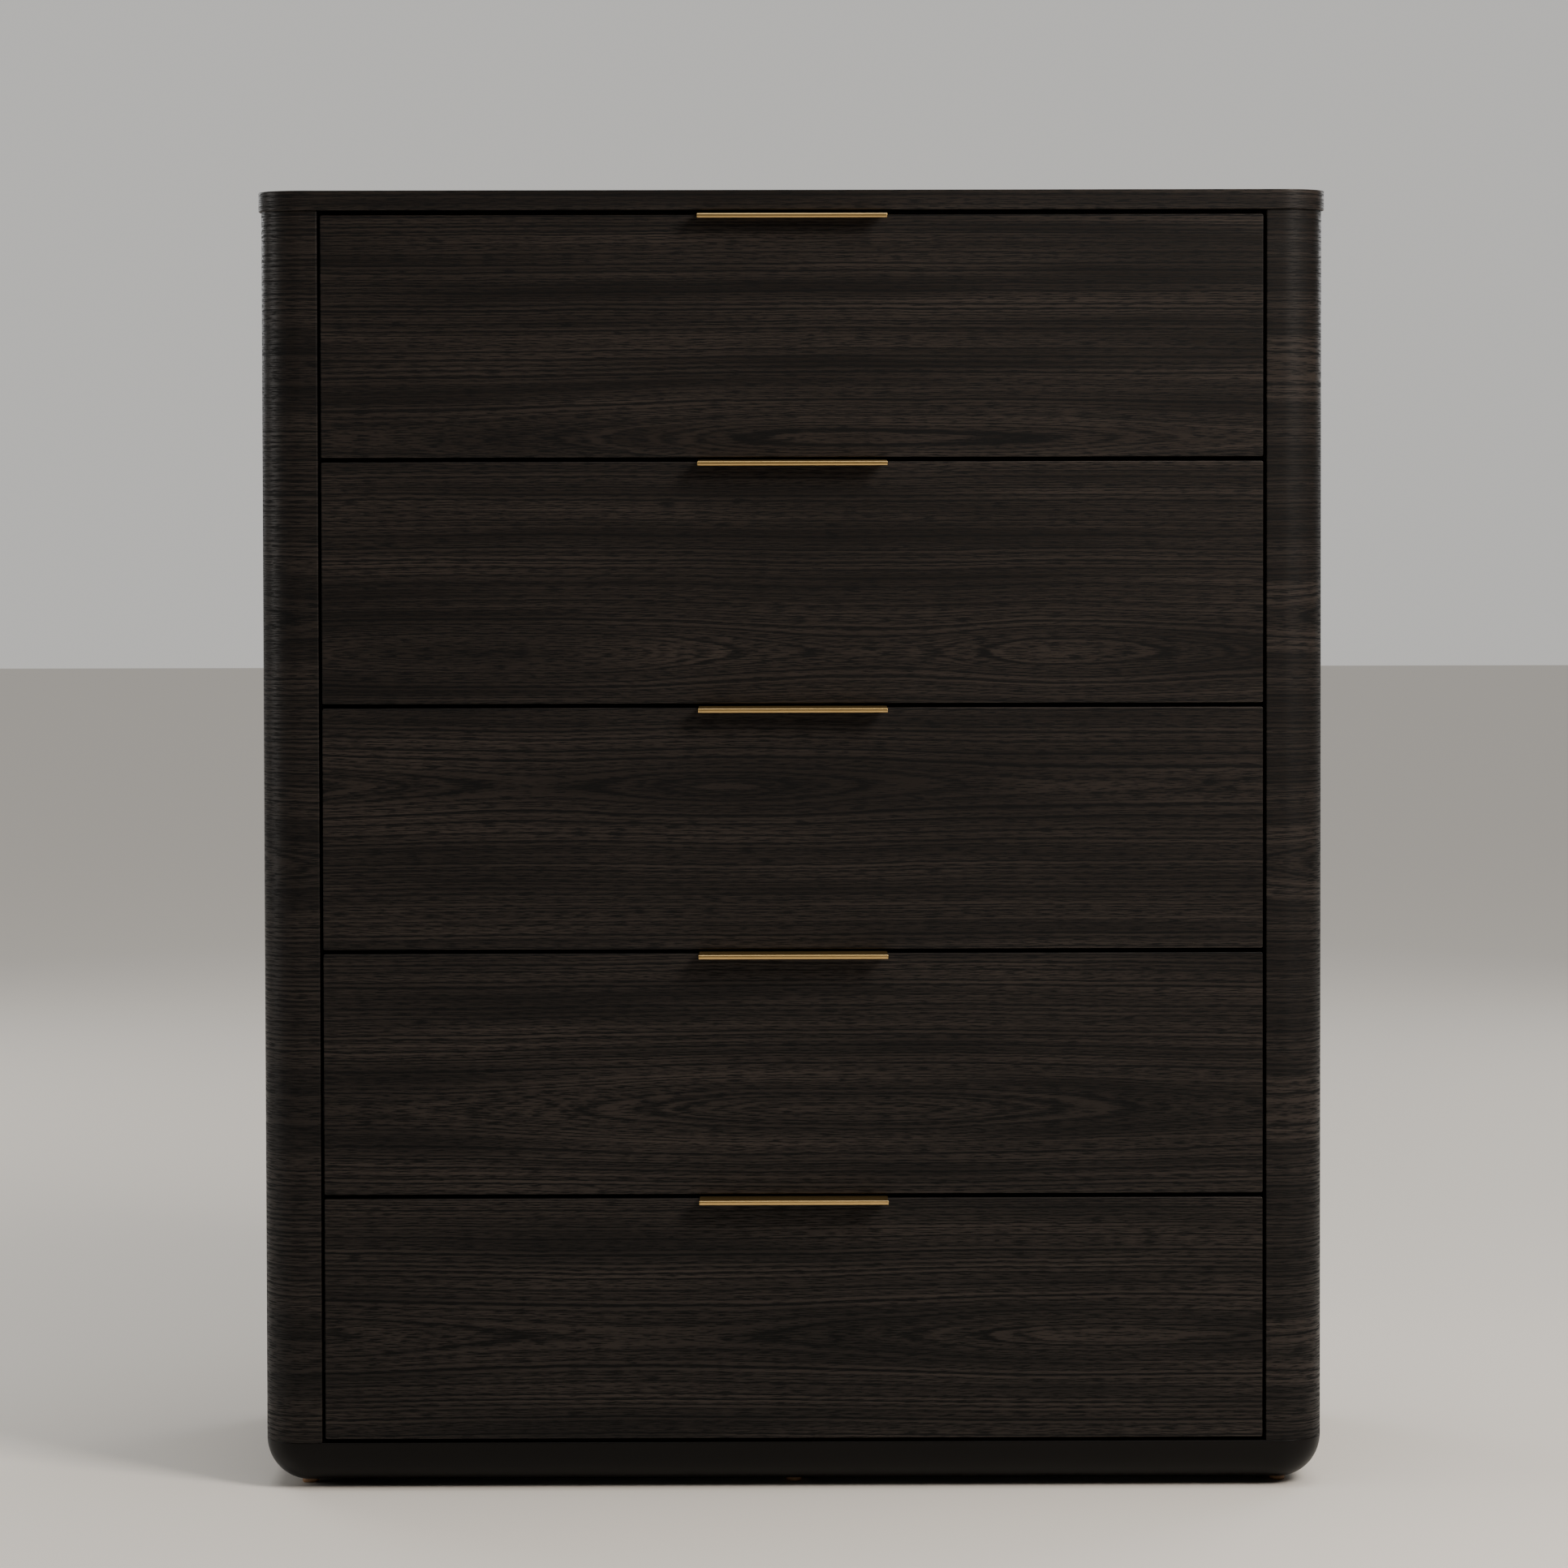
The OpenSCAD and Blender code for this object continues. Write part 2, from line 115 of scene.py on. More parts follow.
# %% [markdown]
# ## Making surfaces
#
# A board with slightly rounded edges could be a cube with a Bevel modifier. Here each surface is
# worked out as a grid of points instead, because then every point also knows where it lies on
# the sheet of veneer: how far along the grain, how far across it, and how far from the heart of
# the tree. Those three numbers drive the wood material later.
#
# A piece is a list of patches. A patch is a grid of points with the two veneer distances for
# each point. Patches share their borders, so once they are welded the piece is closed.

# %% Welding patches into a piece
LEAF_STEP = np.array([3.7, 2.3, 0.9])
WELD = 0.002 * mm


def surface(name, patches, growth=None, leaf=0):
    """Makes one closed mesh from grids of points. Each patch is (points, along, across): arrays
    of the same rows and columns. growth(along, across) gives the distance from the heart of the
    tree, and the line of fibres that a point lies on; without it both are the distance across.
    leaf is the number of the sheet of veneer: each is cut from another place in the tree, so all
    three distances are moved on by that many steps. Neighbouring grid points become four-cornered
    faces, and points in the same place are welded."""
    corners, faces, along, across = [], [], [], []
    used = 0
    for points, u, v in patches:
        rows, columns = points.shape[:2]
        index = used + np.arange(rows * columns).reshape(rows, columns)
        faces.append(np.stack([index[:-1, :-1], index[:-1, 1:], index[1:, 1:], index[1:, :-1]], -1))
        corners.append(points.reshape(-1, 3))
        along.append(np.broadcast_to(u, (rows, columns)).ravel())
        across.append(np.broadcast_to(v, (rows, columns)).ravel())
        used += rows * columns
    faces = np.concatenate([f.reshape(-1, 4) for f in faces])
    along, across = np.concatenate(along), np.concatenate(across)
    mesh = bpy.data.meshes.new(name)
    mesh.from_pydata(np.concatenate(corners).tolist(), [], faces.tolist())
    at = faces.ravel()
    grain = mesh.uv_layers.new(name="grain")
    rings, fibre = (across, across) if growth is None else growth(along, across)
    place = np.stack([along, fibre, rings], -1) + leaf * LEAF_STEP
    grain.data.foreach_set("uv", place[at, :2].ravel())
    mesh.attributes.new("growth", "FLOAT", "CORNER").data.foreach_set("value", place[at, 2])
    welded = bmesh.new()
    welded.from_mesh(mesh)
    bmesh.ops.remove_doubles(welded, verts=welded.verts, dist=WELD)
    bmesh.ops.recalc_face_normals(welded, faces=welded.faces)
    welded.to_mesh(mesh)
    welded.free()
    mesh.shade_smooth()
    piece = bpy.data.objects.new(name, mesh)
    bpy.context.scene.collection.objects.link(piece)
    return piece


# %% [markdown]
# Most parts of a chest are an outline seen from one side, carried in a straight line. So one
# function draws an outline with rounded corners, and it also gives, at each point, the direction
# that points straight out, which the edge roundings need.

# %% Outlines with rounded corners
def outline(corners, radii, cuts=1, steps=6):
    """A closed outline in two coordinates, anticlockwise, whose last point repeats the first.
    At each corner the arc touches both sides: it starts radius * tan(half the turn) before the
    corner, and its centre lies one radius to the inner side of that point. cuts says into how
    many even parts each straight stretch is cut, and steps says the same of each arc. Returns
    points, outward directions, and where in the list the middle of each arc is."""
    corners = np.array(corners, float)
    arriving = corners - np.roll(corners, 1, axis=0)
    arriving /= np.linalg.norm(arriving, axis=1, keepdims=True)
    leaving = np.roll(arriving, -1, axis=0)
    turns = np.arctan2(arriving[:, 0] * leaving[:, 1] - arriving[:, 1] * leaving[:, 0],
                       (arriving * leaving).sum(1))
    arcs, rays = [], []
    for corner, before, turned, radius in zip(corners, arriving, turns, radii):
        side = np.sign(turned)
        start = corner - before * radius * np.tan(abs(turned) / 2)
        inward = side * np.array([-before[1], before[0]])
        angle = np.arctan2(-inward[1], -inward[0]) + turned * np.linspace(0, 1, steps + 1)
        ray = np.stack([np.cos(angle), np.sin(angle)], -1)
        arcs.append(start + inward * radius + radius * ray)
        rays.append(side * ray)
    points, outward, middles, used = [], [], [], 0
    for k, cut in enumerate(np.broadcast_to(cuts, len(corners))):
        share = np.linspace(0, 1, cut + 1)[1:-1, None]
        following = arcs[(k + 1) % len(arcs)][0]
        points += [arcs[k], arcs[k][-1] + share * (following - arcs[k][-1])]
        outward += [rays[k], np.repeat(rays[k][-1:], len(share), axis=0)]
        middles.append(used + steps // 2)
        used += len(arcs[k]) + len(share)
    points.append(arcs[0][:1])
    outward.append(rays[0][:1])
    return np.concatenate(points), np.concatenate(outward), middles


def length_along(points):
    """How far along a line each of its points lies: the running sum of the steps' lengths."""
    steps = np.linalg.norm(np.diff(points, axis=0), axis=1)
    return np.concatenate([[0.0], np.cumsum(steps)])


# %% [markdown]
# The flat ends of a board are filled in one of two ways. A large face that shows is stretched
# between the four sides of its outline, so that it is an even grid. A small or hidden one is a
# fan of triangles to one point.

# %% Filling the ends
def stretched(ring, middles):
    """A grid between four curves, as a net is stretched in a frame. With s and t from 0 to 1
    across the grid, a point is the blend of the two curves it lies between one way, plus the
    blend the other way, less the blend of the four corners, which would count twice."""
    a, b, c, d = middles
    closed = np.concatenate([ring[:-1], ring[:-1]])
    total = len(ring) - 1
    low, right = closed[a:b + 1], closed[b:c + 1]
    high, left = closed[c:d + 1][::-1], closed[d:a + total + 1][::-1]
    s = np.linspace(0, 1, len(low))[None, :, None]
    t = np.linspace(0, 1, len(left))[:, None, None]
    corners = ((1 - s) * (1 - t) * low[0] + s * (1 - t) * low[-1]
               + (1 - s) * t * high[0] + s * t * high[-1])
    return (1 - t) * low + t * high + (1 - s) * left[:, None] + s * right[:, None] - corners


def fan(ring, centre):
    """Two rows of points: the ring, and one centre repeated, which welding makes one point."""
    return np.stack([ring, np.broadcast_to(centre, ring.shape)])


# %% [markdown]
# ## Boards
#
# Real veneered boards never have knife edges: the edges are sanded to about a millimetre, and
# that small rounding is what catches the light and makes a drawer front read as a separate piece.
# A board is an outline carried through its thickness. Near each end the outline shrinks along a
# quarter circle, which rounds the edge. One extra row just inside each rounding keeps the flat
# parts truly flat when they are shaded smoothly.

# %% The board function
EASE = 0.3 * mm
QUARTER = np.radians(np.linspace(0, 90, 5))


def board(shape, low, high, edge, axes, veneer, rows=1, filled=False, centre=None):
    """A board from its outline (shape, from outline()) and its two end positions low and high.
    With a from 0 to 90 degrees the edge's rows lie edge * (1 - sin a) inside the outline and
    edge * (1 - cos a) in from the end. rows is how many parts the wall is cut into. axes says
    which of x, y and z the outline's two coordinates and the carrying direction are.
    veneer(points, run, outward) gives along and across; run is the distance along the outline,
    and at the two ends it and outward are None. filled stretches a grid over the ends, and
    otherwise they are fans to centre."""
    points, outward, middles = shape
    rim_inset = np.concatenate([[edge + EASE], edge * (1 - np.sin(QUARTER)), [0.0]])
    rim_depth = np.concatenate([[0.0], edge * (1 - np.cos(QUARTER)), [edge + EASE]])
    between = np.linspace(low + edge + EASE, high - edge - EASE, rows + 1)[1:-1]
    inset = np.concatenate([rim_inset, np.zeros(len(between)), rim_inset[::-1]])
    place = np.concatenate([low + rim_depth, between, high - rim_depth[::-1]])
    flat = points[None] - inset[:, None, None] * outward[None]
    carried = np.broadcast_to(place[:, None, None], flat.shape[:2] + (1,))
    grid = np.concatenate([flat, carried], -1)
    if filled:
        ends = [stretched(ring, middles) for ring in (grid[0], grid[-1])]
    else:
        middle = points.mean(0) if centre is None else centre
        ends = [fan(ring, [*middle, ring[0, 2]]) for ring in (grid[0], grid[-1])]
    patches = []
    wall = (grid, length_along(points), outward)
    for part, run, out in [wall] + [(end, None, None) for end in ends]:
        turned = np.empty_like(part)
        turned[..., list(axes)] = part
        patches.append((turned, *veneer(turned, run, out)))
    return patches


def rectangle(x0, x1, y0, y1):
    """The four corners of a rectangle, anticlockwise from the lowest."""
    return [(x0, y0), (x1, y0), (x1, y1), (x0, y1)]


# %% [markdown]
# ## Growth rings on a drawer front
#
# The fronts are flat-cut oak. A flat cut passes beside the heart of the tree, so the growth rings
# show as straight lines away from the heart's line and as nested arches, called cathedrals, over
# it. The trunk isn't a perfect cylinder: where the cut comes nearer to the heart, the rings close
# into long ovals. The distance from the heart is worked out for each point of the surface, and
# the material later draws one dark line per ring.

# %% Growth rings
HEART_DEPTH = 26 * mm


def flat_cut(height, hearts, lean=0.0):
    """Growth as on a flat-cut board. The heart's line runs along the board at this height, and
    lean tilts it. Its depth under the surface is HEART_DEPTH less a bell-shaped bump at each
    heart, given as (place, rise, left spread, right spread). The distance from the heart is the
    hypotenuse of that depth and the distance across. The fibres keep two thirds to straight
    lines and one third to the rings: two thirds of the distance across, and one third of how
    much further the point is from the heart than the surface over it is, counted away from the
    heart's line on either side."""
    def growth(along, across):
        depth = np.full(along.shape, HEART_DEPTH)
        for place, rise, left, right in hearts:
            spread = np.where(along < place, left, right)
            depth = depth - rise * np.exp(-((along - place) / spread) ** 2)
        off = across - height - lean * along
        rings = np.hypot(depth, off)
        return rings, (2 * across + np.sign(off) * (rings - depth)) / 3
    return growth


# %% [markdown]
# ## The materials
#
# Colours are written as the hex values that a paint chart or a screen shows, and one function
# turns them into the linear values that the renderer counts in. One more function adds a shader
# node with its settings, and fills its sockets with values and links.

# %% Colour and node helpers
def colour(code):
    """An sRGB hex colour as linear red, green, blue and alpha: c / 12.92 for dark values and
    ((c + 0.055) / 1.055) to the power 2.4 for the others."""
    values = np.array([int(code[k:k + 2], 16) for k in (1, 3, 5)]) / 255
    linear = np.where(values <= 0.04045, values / 12.92, ((values + 0.055) / 1.055) ** 2.4)
    return [*linear.tolist(), 1.0]


def fill(tree, target, inputs):
    """Fills a node's sockets, given by name or by number. Each gets a value, or a link from a
    socket or from another node's first output."""
    for name, value in inputs.items():
        source = value.outputs[0] if isinstance(value, bpy.types.Node) else value
        if isinstance(source, bpy.types.NodeSocket):
            tree.links.new(source, target.inputs[name])
        else:
            target.inputs[name].default_value = source


def node(tree, kind, inputs=None, **settings):
    """Adds a shader node. settings are its own properties, and inputs fill its sockets."""
    made = tree.nodes.new("ShaderNode" + kind)
    for name, value in settings.items():
        setattr(made, name, value)
    fill(tree, made, inputs or {})
    return made


def new_material(name):
    """A material with only a Principled shader and an output. Returns it, its tree and the
    shader."""
    material = bpy.data.materials.new(name)
    material.use_nodes = True
    tree = material.node_tree
    return material, tree, tree.nodes["Principled BSDF"]


# %% [markdown]
# ### Black-brown oak veneer
#
# The wood that shows is oak veneer, 0.6 mm thick, stained black-brown and sprayed with a thin
# satin lacquer that leaves the pores open. Oak has rows of large pores in the wood that grows in
# spring, so every ring starts with a band of short dark strokes. Stain gathers in the pores, so
# they are darker than the wood between them. An image of veneer could be wrapped on, but it would
# repeat and blur. Here the strokes, the rings and the broad tone all come from noise that is
# stretched along the grain, and each scale is a real distance.
#
# A real pore is about 0.3 mm wide, which is too fine to show from where the camera stands. The
# pores are drawn about 0.75 mm wide instead, and give the same look from there.

# %% Oak veneer
RING_WIDTH = 2.3 * mm
PORE_LENGTH, PORE_WIDTH = 17 * mm, 0.75 * mm
WANDER, WANDER_LENGTH, WANDER_WIDTH = 3.4 * mm, 160 * mm, 30 * mm
BAND_LENGTH, BAND_WIDTH = 550 * mm, 24 * mm


def oak_veneer():
    """Stained open-pored oak: growth rings, pores, broad bands of tone, and a satin lacquer."""
    material, tree, shader = new_material("black_brown_oak_veneer")
    grain = node(tree, "UVMap", uv_map="grain")
    growth = node(tree, "Attribute", attribute_name="growth").outputs["Fac"]
    split = node(tree, "SeparateXYZ", {0: grain})
    along = split.outputs[0]

    # the rings wander a little, by a millimetre or so either way
    wander_place = node(tree, "Mapping", {"Vector": grain,
                                          "Scale": (1 / WANDER_LENGTH, 1 / WANDER_WIDTH, 1)})
    wander = node(tree, "TexNoise", {"Vector": wander_place, "Scale": 1.0, "Detail": 2.0},
                  noise_dimensions="2D")
    ring = node(tree, "Math", {0: wander, 1: WANDER, 2: growth}, operation="MULTIPLY_ADD")

    # light and dark rings of uneven width
    ring_count = node(tree, "Math", {0: ring, 1: 1 / RING_WIDTH}, operation="MULTIPLY")
    ring_noise = node(tree, "TexNoise", {"W": ring_count, "Scale": 1.0, "Detail": 2.0},
                      noise_dimensions="1D")

    # pores run with the fibres, and crowd together in the dark rings
    pore_place = node(tree, "Mapping", {"Vector": grain,
                                        "Scale": (1 / PORE_LENGTH, 1 / PORE_WIDTH, 1)})
    pore_noise = node(tree, "TexNoise", {"Vector": pore_place, "Scale": 1.0, "Detail": 2.0,
                                         "Roughness": 0.6}, noise_dimensions="2D")
    pore_mix = node(tree, "Math", {0: ring_noise, 1: 0.6, 2: pore_noise},
                    operation="MULTIPLY_ADD")
    pores = node(tree, "MapRange", {"Value": pore_mix, "From Min": 0.74, "From Max": 0.90},
                 interpolation_type="SMOOTHSTEP")

    # broad bands of tone, two fingers wide and an arm long, that follow the rings
    tone_place = node(tree, "CombineXYZ", {0: along, 1: ring})
    tone_scale = node(tree, "Mapping", {"Vector": tone_place,
                                        "Scale": (1 / BAND_LENGTH, 1 / BAND_WIDTH, 1)})
    tone = node(tree, "TexNoise", {"Vector": tone_scale, "Scale": 1.0, "Detail": 3.0},
                noise_dimensions="2D")
    tone_band = node(tree, "MapRange", {"Value": tone, "From Min": 0.3, "From Max": 0.7})

    # how light each spot is: the tone, darker in the dark rings, and darkest in the pores
    ringed = node(tree, "MapRange", {"Value": ring_noise, "From Min": 0.4, "From Max": 0.75,
                                     "To Min": 1.0, "To Max": 0.32})
    toned = node(tree, "MapRange", {"Value": tone_band, "To Min": 0.34, "To Max": 1.0})
    between = node(tree, "Math", {0: toned, 1: ringed}, operation="MULTIPLY")
    open_wood = node(tree, "MapRange", {"Value": pores, "To Min": 1.0, "To Max": 0.08})
    light = node(tree, "Math", {0: between, 1: open_wood}, operation="MULTIPLY")
    stained = node(tree, "Mix", {"Factor": light, "A": colour("#020202"), "B": colour("#302a26")},
                   data_type="RGBA")

    # the lacquer is duller and sunken where a pore is open
    gloss = node(tree, "MapRange", {"Value": pores, "To Min": 0.38, "To Max": 0.7})
    dents = node(tree, "Bump", {"Strength": 0.2, "Distance": 0.1 * mm, "Height": pores},
                 invert=True)
    fill(tree, shader, {"Base Color": stained.outputs["Result"], "Roughness": gloss,
                        "Normal": dents, "IOR": 1.5, "Specular IOR Level": 0.15})
    return material


oak = oak_veneer()
print("made", oak.name)

# %% [markdown]
# ## Fitting pieces to the frame
#
# Every piece below is fitted in the same way. It reads its size from the CAD node that it stands
# for, and takes a material, the CAD body that it rides on, and the nodes that it replaces. Sizes
# could be typed in again here, but they would go wrong as soon as the CAD model changed.

# %% Fitting helpers
CELL = 6 * mm


def span(name):
    """The lowest and highest x, then y, then z of a CAD node."""
    low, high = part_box(name)
    return low.x, high.x, low.y, high.y, low.z, high.z


def cells(length):
    """Into how many cells a length is cut."""
    return int(np.ceil(length / CELL))


def dress(piece, material, body, slot, *nodes):
    """Gives a finished piece its material and its body, and hides the CAD nodes it stands for.
    The slot is not used.
    """
    piece.data.materials.append(material)
    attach(piece, body)
    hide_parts(*nodes)
    print(f"{piece.name}: {len(piece.data.polygons)} faces on {body}")


print("top panel, mm:", [round(value / mm, 1) for value in span("top_panel")])

# %% [markdown]
# ## The top
#
# The top is an 18 mm board whose front corners follow the rounding of the posts below, and it
# stands out by a few millimetres. Its upper face is one leaf of veneer with the grain running
# from side to side, and its edge is banded with a strip of the same oak. It could be a cube with
# its corners bevelled, but then the grain would cross the edge instead of following it.

# %% Top panel
SANDED_EDGE = 0.9 * mm
ARC_STEPS = 24
BACK_RADIUS = 2 * mm
BAND_START = 2.0
TOP_LEAF = 6


def top_veneer(points, run, outward):
    """On the two faces the grain runs along x. On the edge it runs along the outline, and the
    band was cut BAND_START further along the leaf."""
    if run is None:
        return points[..., 0], points[..., 1]
    return run + BAND_START, points[..., 2]


x0, x1, y0, y1, z0, z1 = span("top_panel")
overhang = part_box("corner_post_left")[0].x - x0
corner_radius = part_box("corner_post_left")[1].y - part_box("corner_post_left")[0].y
top_radius = corner_radius + overhang
shape = outline(rectangle(x0, x1, y0, y1), [top_radius, top_radius, BACK_RADIUS, BACK_RADIUS],
                [cells(x1 - x0), cells(y1 - y0)] * 2, steps=ARC_STEPS)
top_growth = flat_cut(0.03, [(-0.14, 19 * mm, 0.26, 0.30), (0.45, 11 * mm, 0.15, 0.2)])
top = surface("oak_top", board(shape, z0, z1, SANDED_EDGE, (0, 1, 2), top_veneer, 2, filled=True),
              top_growth, TOP_LEAF)
dress(top, oak, "carcass", "oak_veneer", "top_panel")

# %% [markdown]
# ## The corner posts and the side panels
#
# Each post is a quarter round that leads from the flat side into the flat strip beside the
# drawers. The veneer is bent round it with the grain running level, so along is measured round
# the curve: it starts at the seam with the side panel, and the side panel counts backwards from
# the same seam. That way the grain runs on from one to the other. High boards are covered with
# several leaves of veneer, one above the other. Leaves cut one after another from the same log
# have nearly the same figure, so the figure repeats from leaf to leaf, a little further along.
# A quarter cylinder from the Add menu would have the shape, but not this measure round the curve.

# %% Leaves laid one above the other
LEAF_HEIGHT = 0.226
LOWEST_LEAF = 0.08
SLIDE = 0.13


def leaves(growth, height, start):
    """Growth on leaves laid one above the other: the distance across is from the middle of the
    nearest leaf, and each leaf's fibres are its own. No two leaves were laid quite level with
    each other, so the figure slides along by SLIDE times the sine of twice the leaf's number."""
    def stacked(along, across):
        leaf = np.floor((across - start) / height + 0.5)
        rings, fibre = growth(along + SLIDE * np.sin(2 * leaf), across - start - leaf * height)
        return rings, fibre + leaf * height
    return stacked


case_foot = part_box("side_panel_left")[0].z
case_figure = flat_cut(0.0, [(-0.21, 18 * mm, 0.2, 0.16)])
case_growth = leaves(case_figure, LEAF_HEIGHT, case_foot + LOWEST_LEAF)
case_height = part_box("side_panel_left")[1].z - case_foot
print("leaves of veneer, one above the other:", round(case_height / LEAF_HEIGHT))

# %% Posts and side panels
SEAM = 0.3 * mm
POST_ARRIS, BACK_ARRIS = 1.2 * mm, 0.6 * mm
CASE_LEAVES = {"left": 8, "right": 9}


def mirrored(patches):
    """The same patches on the other side of x = 0."""
    return [(points * [-1, 1, 1], u, v) for points, u, v in patches]


def level_veneer(points, run, outward):
    """The grain runs level, along the outline."""
    if run is None:
        return points[..., 0], points[..., 1]
    return run, points[..., 2]


def side_veneer(points, run, outward):
    """The grain runs level, and along counts backwards from the seam with the post."""
    return seam_y - points[..., 1], points[..., 2]


x0, x1, y0, y1, z0, z1 = span("corner_post_left")
seam_y = y1
post_shape = outline(rectangle(x0, x1, y0, y1), [corner_radius - SEAM, POST_ARRIS, SEAM, SEAM],
                     steps=ARC_STEPS)
post = board(post_shape, z0, z1, SEAM, (0, 1, 2), level_veneer, cells(z1 - z0))

x0, x1, y0, y1, z0, z1 = span("side_panel_left")
step_x, step_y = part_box("back_panel")[0].x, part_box("back_panel")[0].y
side_corners = [(x0, y0), (x1, y0), (x1, step_y), (step_x, step_y), (step_x, y1), (x0, y1)]
side_shape = outline(side_corners, [SEAM] * 5 + [BACK_ARRIS], [1] * 5 + [cells(y1 - y0)])
side_middle = ((x0 + step_x) / 2, 0.0)
side = board(side_shape, z0, z1, SEAM, (0, 1, 2), side_veneer, cells(z1 - z0),
             centre=side_middle)

hands = {"left": (post, side), "right": (mirrored(post), mirrored(side))}
for hand, (post_patches, side_patches) in hands.items():
    post_piece = surface(f"oak_post_{hand}", post_patches, case_growth, CASE_LEAVES[hand])
    dress(post_piece, oak, "carcass", "oak_veneer", f"corner_post_{hand}")
    side_piece = surface(f"oak_side_{hand}", side_patches, case_growth, CASE_LEAVES[hand])
    dress(side_piece, oak, "carcass", "oak_veneer", f"side_panel_{hand}")

# %% [markdown]
# ## The drawer fronts
#
# Five fronts are cut from the same batch of flat-cut veneer, each with its arches in another
# place. They could share one mesh, but then all five would show the same figure. For each front
# the list gives the height of the heart's line over the middle of the front, and where the rings
# close into ovals.

# %% Drawer fronts
FRONT_CORNER = 1.5 * mm
DRAWERS = len([name for name in frame["bodies"] if name.endswith("_slides")])
FIGURES = {
    1: (-93 * mm, [(0.04, 19 * mm, 0.22, 0.42)]),
    2: (-64 * mm, [(-0.26, 18 * mm, 0.24, 0.20), (0.24, 10 * mm, 0.09, 0.13)]),
    3: (39 * mm, [(-0.52, 16 * mm, 0.2, 0.20), (-0.06, 10 * mm, 0.14, 0.17)]),
    4: (-32 * mm, [(0.04, 21 * mm, 0.22, 0.26)]),
    5: (-16 * mm, [(0.29, 20 * mm, 0.22, 0.30), (-0.52, 13 * mm, 0.2, 0.20)]),
}


def front_veneer(middle):
    """The veneer of a front whose middle is at this height, wrapped as from one sheet: on the
    face along is x and across is the height over the middle, and behind the face both move on
    with the depth, in the direction that the edge faces."""
    def veneer(points, run, outward):
        depth = points[..., 1] - FRONT_Y
        along, across = points[..., 0], points[..., 2] - middle
        if outward is None:
            return along, across
        return along + outward[:, 0] * depth, across + outward[:, 1] * depth
    return veneer


for number in range(1, DRAWERS + 1):
    x0, x1, y0, y1, z0, z1 = span(f"drawer{number}_front")
    shape = outline(rectangle(x0, x1, z0, z1), [FRONT_CORNER] * 4,
                    [cells(x1 - x0), cells(z1 - z0)] * 2)
    patches = board(shape, y0, y1, SANDED_EDGE, (0, 2, 1), front_veneer((z0 + z1) / 2), 2, filled=True)
    height, hearts = FIGURES[number]
    front = surface(f"oak_front_{number}", patches, flat_cut(height, hearts), leaf=number)
    dress(front, oak, f"drawer{number}", "oak_veneer", f"drawer{number}_front")

# %% [markdown]
# ## The plinth
#
# The plinth is solid wood, shaped to a quarter circle along its lower edge and round the two
# front corners, so that the chest seems to float. It is painted, not veneered, because veneer
# can't follow a curve in two directions. A Bevel modifier as wide as the block is high would
# pinch the front corners, so the outline is carried down and shrinks on the outer sides only.

# %% Black paint
def satin_black():
    """Sprayed satin paint, black-brown: smooth, with the faint ripple that spraying leaves."""
    material, tree, shader = new_material("satin_black_paint")
    place = node(tree, "TexCoord").outputs["Object"]
    ripple = node(tree, "TexNoise", {"Vector": place, "Scale": 1 / (2.2 * mm), "Detail": 2.0})
    cloud = node(tree, "TexNoise", {"Vector": place, "Scale": 1 / (70 * mm), "Detail": 2.0})
    base = node(tree, "Mix", {"Factor": cloud, "A": colour("#080706"), "B": colour("#0c0a09")},
                data_type="RGBA")
    gloss = node(tree, "MapRange", {"Value": cloud, "To Min": 0.34, "To Max": 0.44})
    relief = node(tree, "Bump", {"Strength": 0.12, "Distance": 0.05 * mm, "Height": ripple})
    fill(tree, shader, {"Base Color": base.outputs["Result"], "Roughness": gloss,
                        "Normal": relief, "Specular IOR Level": 0.12})
    return material


paint = satin_black()
print("made", paint.name)

# %% Plinth
PLINTH_ARRIS = 0.6 * mm
PLINTH_QUARTER = np.radians(np.linspace(2.5, 90, 28))


def plinth_piece(hand, radii, rounded):
    """A block whose outer lower edges are quarter circles as high as the block. With a from nearly
    0 to 90 degrees a row lies height * (1 - cos a) inside the outline and height * sin a below the
    top, and the top edge has the same small rounding as a board. rounded says, as 1 or 0, whether
    the left, the front and the right side are rounded so. A side that isn't stays put, but no
    point of it lies further out than its row allows."""
    x0, x1, y0, y1, low, high = span(f"plinth_{hand}")
    left, front, right = rounded
    height = high - low
    points, outward, _ = outline(rectangle(x0, x1, y0, y1), radii, 4, steps=ARC_STEPS)
    inset = np.concatenate([[PLINTH_ARRIS + EASE], PLINTH_ARRIS * (1 - np.sin(QUARTER)),
                            height * (1 - np.cos(PLINTH_QUARTER))])
    drop = np.concatenate([[0.0], PLINTH_ARRIS * (1 - np.cos(QUARTER)),
                           height * np.sin(PLINTH_QUARTER)])
    sideways = np.where(outward[:, 0] < 0, left, right) * outward[:, 0]
    drawn = np.stack([sideways, front * np.minimum(outward[:, 1], 0)], -1)
    inset = inset[:, None]
    grid = np.empty((len(drop), len(points), 3))
    grid[..., :2] = points - inset[..., None] * drawn
    grid[..., 0] = np.clip(grid[..., 0], x0 + left * inset, x1 - right * inset)
    grid[..., 2] = (high - drop)[:, None]
    ends = [fan(ring, (ring.min(0) + ring.max(0)) / 2) for ring in (grid[0], grid[-1])]
    run = length_along(points)
    piece = surface(f"painted_plinth_{hand}", [(part, run, part[..., 2]) for part in [grid, *ends]])
    dress(piece, paint, "carcass", "plinth_paint", f"plinth_{hand}")


plinth_piece("front", [corner_radius, corner_radius, SEAM, SEAM], (1, 1, 1))
plinth_piece("left", [SEAM] * 4, (1, 0, 0))
plinth_piece("right", [SEAM] * 4, (0, 0, 1))

